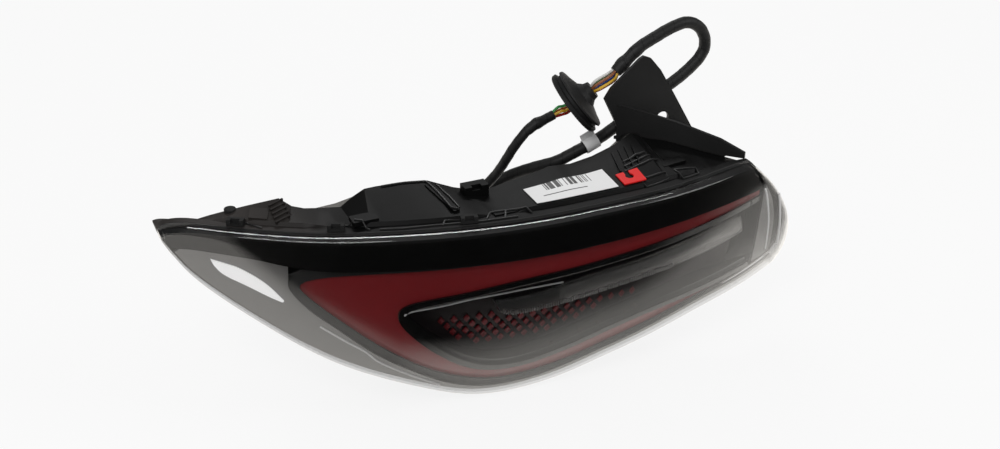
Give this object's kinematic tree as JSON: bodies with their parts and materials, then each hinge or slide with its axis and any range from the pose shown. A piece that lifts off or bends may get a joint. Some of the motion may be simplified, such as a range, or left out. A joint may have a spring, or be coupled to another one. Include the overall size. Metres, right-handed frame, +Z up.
{
  "type": "tail lamp",
  "caption": "Wrap-around rear outer car lamp with a clear lens over a red C-shaped light, silver trim, a moulded housing, studs, a side bracket and a wire harness.",
  "frame": {"origin": "centre of the main fixing stud, in the plane where the lamp meets the car body", "axes": "+X along the lamp from its pointed tip to its inner end, +Y from the lens back towards the car body, +Z up"},
  "size_m": [0.5247, 0.1881, 0.2568],
  "materials": {
    "clear_lens": "clear and polished",
    "black_border": "gloss",
    "silver_trim": "satin metallic paint",
    "white_insert": "gloss",
    "dark_trim": "satin",
    "red_lens": "polished, tinted",
    "clear_guide": "clear and polished",
    "white_reflector": "gloss",
    "circuit_board": "solder mask",
    "window_black": "high gloss",
    "patterned_black": "gloss",
    "red_gem": "gloss",
    "inner_black": "matt",
    "sink_metal": "as extruded",
    "seal_rubber": "matt",
    "housing_black": "satin moulding",
    "pad_rubber": "satin",
    "label_white": "smooth",
    "marker_red": "satin",
    "bracket_black": "satin coat",
    "screw_steel": "satin",
    "stud_steel": "zinc plated",
    "foam_black": "foam",
    "boot_rubber": "matt",
    "lead_tape": "wound tape",
    "tag_white": "smooth",
    "wire_cover": "satin",
    "plug_black": "satin",
    "lock_orange": "satin"
  },
  "bodies": {
    "root": {"outer_lens": "clear_lens", "lens_border": "black_border", "silver_bezel": "silver_trim", "side_light_insert": "white_insert", "red_frame": "dark_trim", "red_lens": "red_lens", "tail_light_guide": "clear_guide", "tail_reflector": "white_reflector", "tail_led_strip": "circuit_board", "window_bezel": "window_black", "end_trim": "dark_trim", "pattern_plate": "patterned_black", "gems": "red_gem", "light_blade": "clear_guide", "blade_holder": "inner_black", "carrier": "inner_black", "main_board": "circuit_board", "heat_sink": "sink_metal", "driver_board": "circuit_board", "seal_bead": "seal_rubber", "housing": "housing_black", "edge_clips": "pad_rubber", "vent_caps": "inner_black", "label": "label_white", "red_marker": "marker_red", "side_bracket": "bracket_black", "bracket_screws": "screw_steel", "stud_main": "stud_steel", "stud_inner": "stud_steel", "ball_pin": "stud_steel", "foam_washers": "foam_black", "exit_boot": "boot_rubber", "lead_a": "lead_tape", "lead_tag": "tag_white", "wires_front": "wire_cover", "grommet": "boot_rubber", "wires_rear": "wire_cover", "lead_b": "lead_tape", "far_plug": "plug_black", "plug_lock": "lock_orange"}
  },
  "joints": []
}
